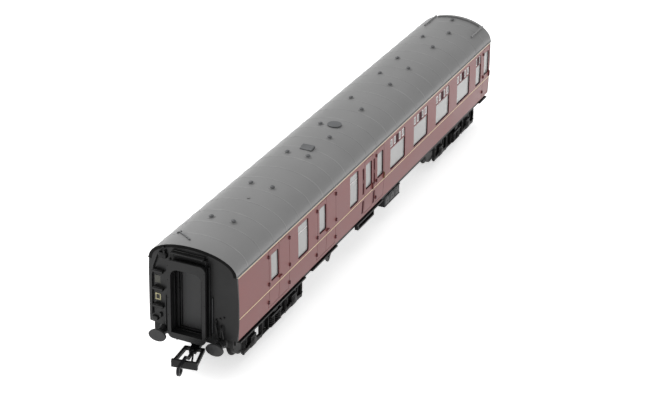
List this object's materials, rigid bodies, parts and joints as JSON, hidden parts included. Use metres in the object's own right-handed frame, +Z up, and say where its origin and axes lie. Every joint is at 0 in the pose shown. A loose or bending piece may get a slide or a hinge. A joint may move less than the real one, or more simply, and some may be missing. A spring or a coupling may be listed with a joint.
{
  "type": "model railway passenger coach",
  "caption": "Model of a maroon 1950s brake corridor coach for narrow table track: ribbed grey roof, black bowed ends, turning bogies, rolling wheelsets and lifting coupling hooks.",
  "frame": {"origin": "centre of the coach at the height of the wheel flange bottoms", "axes": "+X along the coach towards the passenger end, +Z up, -Y the corridor side"},
  "size_m": [0.2963, 0.0372, 0.0523],
  "materials": {
    "roof_grey": "satin moulded grey",
    "vent_grey": "satin darker grey",
    "maroon": "satin maroon with gold lining",
    "clear": "clear moulded plastic glazing",
    "black_body": "satin black",
    "door_grey": "satin dark grey",
    "black_frame": "matt black",
    "battery_grey": "satin dark grey",
    "buffer_black": "blackened metal",
    "weight_steel": "bare steel",
    "interior_cream": "matt light stone",
    "seat_blue": "matt blue grey",
    "hook_black": "blackened steel",
    "wheel_black": "blackened metal"
  },
  "bodies": {
    "coach": {"roof": "roof_grey", "roof_vents": "vent_grey", "roof_hatches": "vent_grey", "roof_pipes": "roof_grey", "side_corridor": "maroon", "side_compartment": "maroon", "glazing_corridor": "clear", "glazing_compartment": "clear", "brake_end": "black_body", "passenger_end": "black_body", "gangway_brake": "black_body", "gangway_passenger": "black_body", "gangway_doors": "door_grey", "end_fittings_brake": "black_body", "end_fittings_passenger": "black_body", "underframe": "black_frame", "solebars": "black_frame", "headstocks": "black_frame", "buffers_brake": "buffer_black", "buffers_passenger": "buffer_black", "ballast_weight": "weight_steel", "corridor_wall": "interior_cream", "compartment_walls": "interior_cream", "compartment_seats": "seat_blue", "trusses": "black_frame", "battery_boxes": "battery_grey", "vacuum_cylinders": "black_frame", "dynamo": "black_frame", "footboards": "black_frame", "bogie_pins": "weight_steel"},
    "bogie_brake": {"bogie_frame_brake": "black_frame", "brake_rigging_brake": "black_frame", "coupling_frame_brake": "black_frame"},
    "hook_brake": {"coupling_hook_brake": "hook_black"},
    "wheels_1": {"wheelset_1": "wheel_black"},
    "wheels_2": {"wheelset_2": "wheel_black"},
    "bogie_passenger": {"bogie_frame_passenger": "black_frame", "brake_rigging_passenger": "black_frame", "coupling_frame_passenger": "black_frame"},
    "hook_passenger": {"coupling_hook_passenger": "hook_black"},
    "wheels_3": {"wheelset_3": "wheel_black"},
    "wheels_4": {"wheelset_4": "wheel_black"}
  },
  "joints": [
    {"name": "bogie_brake_swivel", "type": "hinge", "parent": "coach", "child": "bogie_brake", "pos_m": [-0.093, 0, 0.0128], "axis": [0, 0, 1], "range_deg": [-15, 15]},
    {"name": "hook_brake_lift", "type": "hinge", "parent": "bogie_brake", "child": "hook_brake", "pos_m": [-0.13145, -0.00175, 0.0106], "axis": [-0.165, 0.9863, 0], "range_deg": [0, 15]},
    {"name": "wheels_1_roll", "type": "hinge", "parent": "bogie_brake", "child": "wheels_1", "pos_m": [-0.11, 0, 0.0073], "axis": [0, 1, 0], "continuous": true},
    {"name": "wheels_2_roll", "type": "hinge", "parent": "bogie_brake", "child": "wheels_2", "pos_m": [-0.076, 0, 0.0073], "axis": [0, 1, 0], "continuous": true},
    {"name": "bogie_passenger_swivel", "type": "hinge", "parent": "coach", "child": "bogie_passenger", "pos_m": [0.093, 0, 0.0128], "axis": [0, 0, 1], "range_deg": [-15, 15]},
    {"name": "hook_passenger_lift", "type": "hinge", "parent": "bogie_passenger", "child": "hook_passenger", "pos_m": [0.1316, 0, 0.0106], "axis": [0, -1, 0], "range_deg": [0, 15]},
    {"name": "wheels_3_roll", "type": "hinge", "parent": "bogie_passenger", "child": "wheels_3", "pos_m": [0.076, 0, 0.0073], "axis": [0, 1, 0], "continuous": true},
    {"name": "wheels_4_roll", "type": "hinge", "parent": "bogie_passenger", "child": "wheels_4", "pos_m": [0.11, 0, 0.0073], "axis": [0, 1, 0], "continuous": true}
  ]
}
